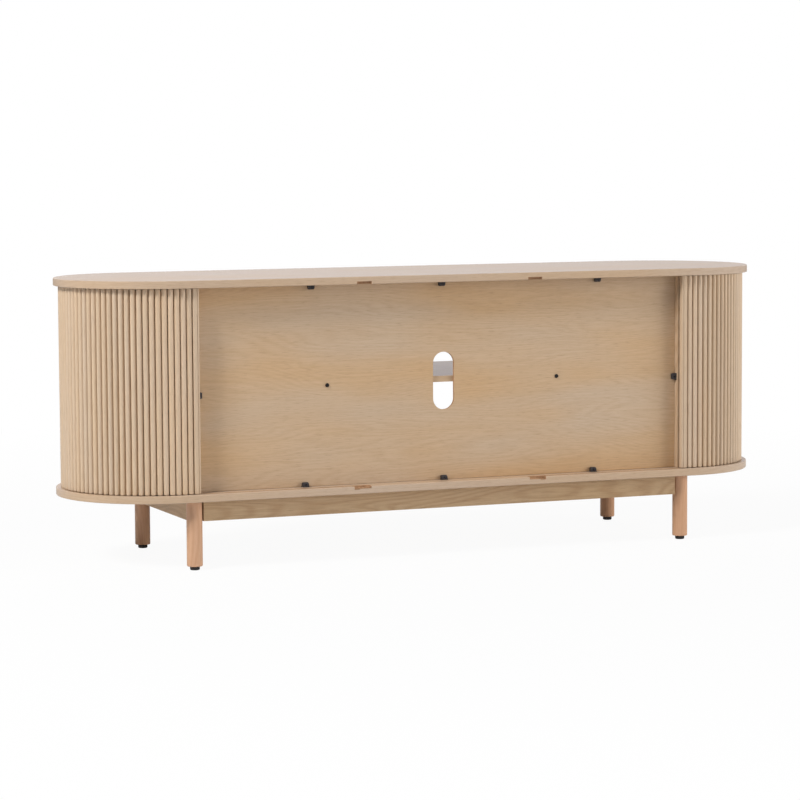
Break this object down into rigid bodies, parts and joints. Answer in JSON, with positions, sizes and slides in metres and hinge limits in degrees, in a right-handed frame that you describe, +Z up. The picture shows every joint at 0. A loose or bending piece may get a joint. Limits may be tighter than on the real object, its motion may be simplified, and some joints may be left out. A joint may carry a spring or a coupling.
{
  "type": "media cabinet",
  "caption": "Low oval media cabinet with slatted sliding doors round both ends, an open middle bay with a shelf, a cable slot and round legs.",
  "frame": {"origin": "on the floor at the middle of the plan", "axes": "+Z up, +X to the right as seen from the front, the open front faces -Y"},
  "size_m": [1.492, 0.4, 0.56],
  "materials": {
    "oak_look_board": "satin oak-look laminate with fine grain",
    "oak_look_panel": "satin oak-look laminate, grain along the length",
    "slats": "oak-look wrapped half-round slats on cloth",
    "turned_leg": "clear-lacquered rubberwood",
    "oak_look_rail": "satin oak-look laminate, grain along the length",
    "black_plastic": "fine matt texture",
    "black_steel": "black satin"
  },
  "bodies": {
    "root": {"top_board": "oak_look_board", "bottom_board": "oak_look_board", "end_partition_left": "oak_look_board", "end_partition_right": "oak_look_board", "divider_left": "oak_look_board", "divider_right": "oak_look_board", "centre_shelf": "oak_look_board", "side_shelf_left": "oak_look_board", "side_shelf_right": "oak_look_board", "back_panel": "oak_look_panel", "panel_screw_left": "black_steel", "bracket_side_left": "black_plastic", "panel_screw_right": "black_steel", "bracket_side_right": "black_plastic", "bracket_top_1": "black_plastic", "bracket_bottom_1": "black_plastic", "bracket_top_2": "black_plastic", "bracket_bottom_2": "black_plastic", "bracket_top_3": "black_plastic", "bracket_bottom_3": "black_plastic", "rail_front": "oak_look_rail", "leg_front_left": "turned_leg", "foot_front_left": "black_plastic", "leg_front_right": "turned_leg", "foot_front_right": "black_plastic", "rail_rear": "oak_look_rail", "leg_rear_left": "turned_leg", "foot_rear_left": "black_plastic", "leg_rear_right": "turned_leg", "foot_rear_right": "black_plastic", "rail_left": "oak_look_rail", "rail_right": "oak_look_rail"},
    "door_left_middle": {"door_left_middle": "slats"},
    "door_left_front_1": {"door_left_front_1": "slats"},
    "door_left_front_2": {"door_left_front_2": "slats"},
    "door_left_front_3": {"door_left_front_3": "slats"},
    "door_left_front_4": {"door_left_front_4": "slats"},
    "door_left_front_5": {"door_left_front_5": "slats"},
    "door_left_front_6": {"door_left_front_6": "slats"},
    "door_left_rear_1": {"door_left_rear_1": "slats"},
    "door_left_rear_2": {"door_left_rear_2": "slats"},
    "door_left_rear_3": {"door_left_rear_3": "slats"},
    "door_left_rear_4": {"door_left_rear_4": "slats"},
    "door_left_rear_5": {"door_left_rear_5": "slats"},
    "door_left_rear_6": {"door_left_rear_6": "slats"},
    "door_right_middle": {"door_right_middle": "slats"},
    "door_right_front_1": {"door_right_front_1": "slats"},
    "door_right_front_2": {"door_right_front_2": "slats"},
    "door_right_front_3": {"door_right_front_3": "slats"},
    "door_right_front_4": {"door_right_front_4": "slats"},
    "door_right_front_5": {"door_right_front_5": "slats"},
    "door_right_front_6": {"door_right_front_6": "slats"},
    "door_right_rear_1": {"door_right_rear_1": "slats"},
    "door_right_rear_2": {"door_right_rear_2": "slats"},
    "door_right_rear_3": {"door_right_rear_3": "slats"},
    "door_right_rear_4": {"door_right_rear_4": "slats"},
    "door_right_rear_5": {"door_right_rear_5": "slats"},
    "door_right_rear_6": {"door_right_rear_6": "slats"}
  },
  "joints": [
    {"name": "door_left_slide", "type": "hinge", "parent": "root", "child": "door_left_middle", "pos_m": [-0.546, 0, 0.347], "axis": [0, 0, -1], "range_deg": [0, 81.36]},
    {"name": "door_left_front_1_follow", "type": "hinge", "parent": "root", "child": "door_left_front_1", "pos_m": [-0.40471, 4.62272, 0.347], "axis": [0, 0, -1], "range_deg": [0, 3.16]},
    {"name": "door_left_front_2_follow", "type": "hinge", "parent": "root", "child": "door_left_front_2", "pos_m": [-0.44637, 0.55256, 0.347], "axis": [0, 0, -1], "range_deg": [0, 20.18]},
    {"name": "door_left_front_3_follow", "type": "hinge", "parent": "root", "child": "door_left_front_3", "pos_m": [-0.47087, 0.2353, 0.347], "axis": [0, 0, -1], "range_deg": [0, 35.05]},
    {"name": "door_left_front_4_follow", "type": "hinge", "parent": "root", "child": "door_left_front_4", "pos_m": [-0.49497, 0.10822, 0.347], "axis": [0, 0, -1], "range_deg": [0, 49.92]},
    {"name": "door_left_front_5_follow", "type": "hinge", "parent": "root", "child": "door_left_front_5", "pos_m": [-0.51896, 0.04171, 0.347], "axis": [0, 0, -1], "range_deg": [0, 64.8]},
    {"name": "door_left_front_6_follow", "type": "hinge", "parent": "root", "child": "door_left_front_6", "pos_m": [-0.53995, 0.00714, 0.347], "axis": [0, 0, -1], "range_deg": [0, 77.75]},
    {"name": "door_left_rear_1_follow", "type": "hinge", "parent": "root", "child": "door_left_rear_1", "pos_m": [-0.53935, -0.00765, 0.347], "axis": [0, 0, -1], "range_deg": [0, 77.45]},
    {"name": "door_left_rear_2_follow", "type": "hinge", "parent": "root", "child": "door_left_rear_2", "pos_m": [-0.51574, -0.04862, 0.347], "axis": [0, 0, -1], "range_deg": [0, 62.8]},
    {"name": "door_left_rear_3_follow", "type": "hinge", "parent": "root", "child": "door_left_rear_3", "pos_m": [-0.49175, -0.12057, 0.347], "axis": [0, 0, -1], "range_deg": [0, 47.92]},
    {"name": "door_left_rear_4_follow", "type": "hinge", "parent": "root", "child": "door_left_rear_4", "pos_m": [-0.46761, -0.26126, 0.347], "axis": [0, 0, -1], "range_deg": [0, 33.05]},
    {"name": "door_left_rear_5_follow", "type": "hinge", "parent": "root", "child": "door_left_rear_5", "pos_m": [-0.443, -0.63473, 0.347], "axis": [0, 0, -1], "range_deg": [0, 18.18]},
    {"name": "door_left_rear_6_follow", "type": "hinge", "parent": "root", "child": "door_left_rear_6", "pos_m": [-0.40452, -5.97314, 0.347], "axis": [0, 0, -1], "range_deg": [0, 2.48]},
    {"name": "door_right_slide", "type": "hinge", "parent": "root", "child": "door_right_middle", "pos_m": [0.546, 0, 0.347], "axis": [0, 0, 1], "range_deg": [0, 81.36]},
    {"name": "door_right_front_1_follow", "type": "hinge", "parent": "root", "child": "door_right_front_1", "pos_m": [0.40471, 4.62272, 0.347], "axis": [0, 0, 1], "range_deg": [0, 3.16]},
    {"name": "door_right_front_2_follow", "type": "hinge", "parent": "root", "child": "door_right_front_2", "pos_m": [0.44637, 0.55256, 0.347], "axis": [0, 0, 1], "range_deg": [0, 20.18]},
    {"name": "door_right_front_3_follow", "type": "hinge", "parent": "root", "child": "door_right_front_3", "pos_m": [0.47087, 0.2353, 0.347], "axis": [0, 0, 1], "range_deg": [0, 35.05]},
    {"name": "door_right_front_4_follow", "type": "hinge", "parent": "root", "child": "door_right_front_4", "pos_m": [0.49497, 0.10822, 0.347], "axis": [0, 0, 1], "range_deg": [0, 49.92]},
    {"name": "door_right_front_5_follow", "type": "hinge", "parent": "root", "child": "door_right_front_5", "pos_m": [0.51896, 0.04171, 0.347], "axis": [0, 0, 1], "range_deg": [0, 64.8]},
    {"name": "door_right_front_6_follow", "type": "hinge", "parent": "root", "child": "door_right_front_6", "pos_m": [0.53995, 0.00714, 0.347], "axis": [0, 0, 1], "range_deg": [0, 77.75]},
    {"name": "door_right_rear_1_follow", "type": "hinge", "parent": "root", "child": "door_right_rear_1", "pos_m": [0.53935, -0.00765, 0.347], "axis": [0, 0, 1], "range_deg": [0, 77.45]},
    {"name": "door_right_rear_2_follow", "type": "hinge", "parent": "root", "child": "door_right_rear_2", "pos_m": [0.51574, -0.04862, 0.347], "axis": [0, 0, 1], "range_deg": [0, 62.8]},
    {"name": "door_right_rear_3_follow", "type": "hinge", "parent": "root", "child": "door_right_rear_3", "pos_m": [0.49175, -0.12057, 0.347], "axis": [0, 0, 1], "range_deg": [0, 47.92]},
    {"name": "door_right_rear_4_follow", "type": "hinge", "parent": "root", "child": "door_right_rear_4", "pos_m": [0.46761, -0.26126, 0.347], "axis": [0, 0, 1], "range_deg": [0, 33.05]},
    {"name": "door_right_rear_5_follow", "type": "hinge", "parent": "root", "child": "door_right_rear_5", "pos_m": [0.443, -0.63473, 0.347], "axis": [0, 0, 1], "range_deg": [0, 18.18]},
    {"name": "door_right_rear_6_follow", "type": "hinge", "parent": "root", "child": "door_right_rear_6", "pos_m": [0.40452, -5.97314, 0.347], "axis": [0, 0, 1], "range_deg": [0, 2.48]}
  ],
  "couplings": [
    {"joint": "door_left_front_1_follow", "follows": "door_left_slide", "ratio": 0.038186},
    {"joint": "door_left_front_2_follow", "follows": "door_left_slide", "ratio": 0.24738},
    {"joint": "door_left_front_3_follow", "follows": "door_left_slide", "ratio": 0.4302},
    {"joint": "door_left_front_4_follow", "follows": "door_left_slide", "ratio": 0.61302},
    {"joint": "door_left_front_5_follow", "follows": "door_left_slide", "ratio": 0.79583},
    {"joint": "door_left_front_6_follow", "follows": "door_left_slide", "ratio": 0.95499},
    {"joint": "door_left_rear_1_follow", "follows": "door_left_slide", "ratio": 0.9514},
    {"joint": "door_left_rear_2_follow", "follows": "door_left_slide", "ratio": 0.77128},
    {"joint": "door_left_rear_3_follow", "follows": "door_left_slide", "ratio": 0.58847},
    {"joint": "door_left_rear_4_follow", "follows": "door_left_slide", "ratio": 0.40565},
    {"joint": "door_left_rear_5_follow", "follows": "door_left_slide", "ratio": 0.22283},
    {"joint": "door_left_rear_6_follow", "follows": "door_left_slide", "ratio": 0.029815},
    {"joint": "door_right_front_1_follow", "follows": "door_right_slide", "ratio": 0.038186},
    {"joint": "door_right_front_2_follow", "follows": "door_right_slide", "ratio": 0.24738},
    {"joint": "door_right_front_3_follow", "follows": "door_right_slide", "ratio": 0.4302},
    {"joint": "door_right_front_4_follow", "follows": "door_right_slide", "ratio": 0.61302},
    {"joint": "door_right_front_5_follow", "follows": "door_right_slide", "ratio": 0.79583},
    {"joint": "door_right_front_6_follow", "follows": "door_right_slide", "ratio": 0.95499},
    {"joint": "door_right_rear_1_follow", "follows": "door_right_slide", "ratio": 0.9514},
    {"joint": "door_right_rear_2_follow", "follows": "door_right_slide", "ratio": 0.77128},
    {"joint": "door_right_rear_3_follow", "follows": "door_right_slide", "ratio": 0.58847},
    {"joint": "door_right_rear_4_follow", "follows": "door_right_slide", "ratio": 0.40565},
    {"joint": "door_right_rear_5_follow", "follows": "door_right_slide", "ratio": 0.22283},
    {"joint": "door_right_rear_6_follow", "follows": "door_right_slide", "ratio": 0.029815}
  ]
}
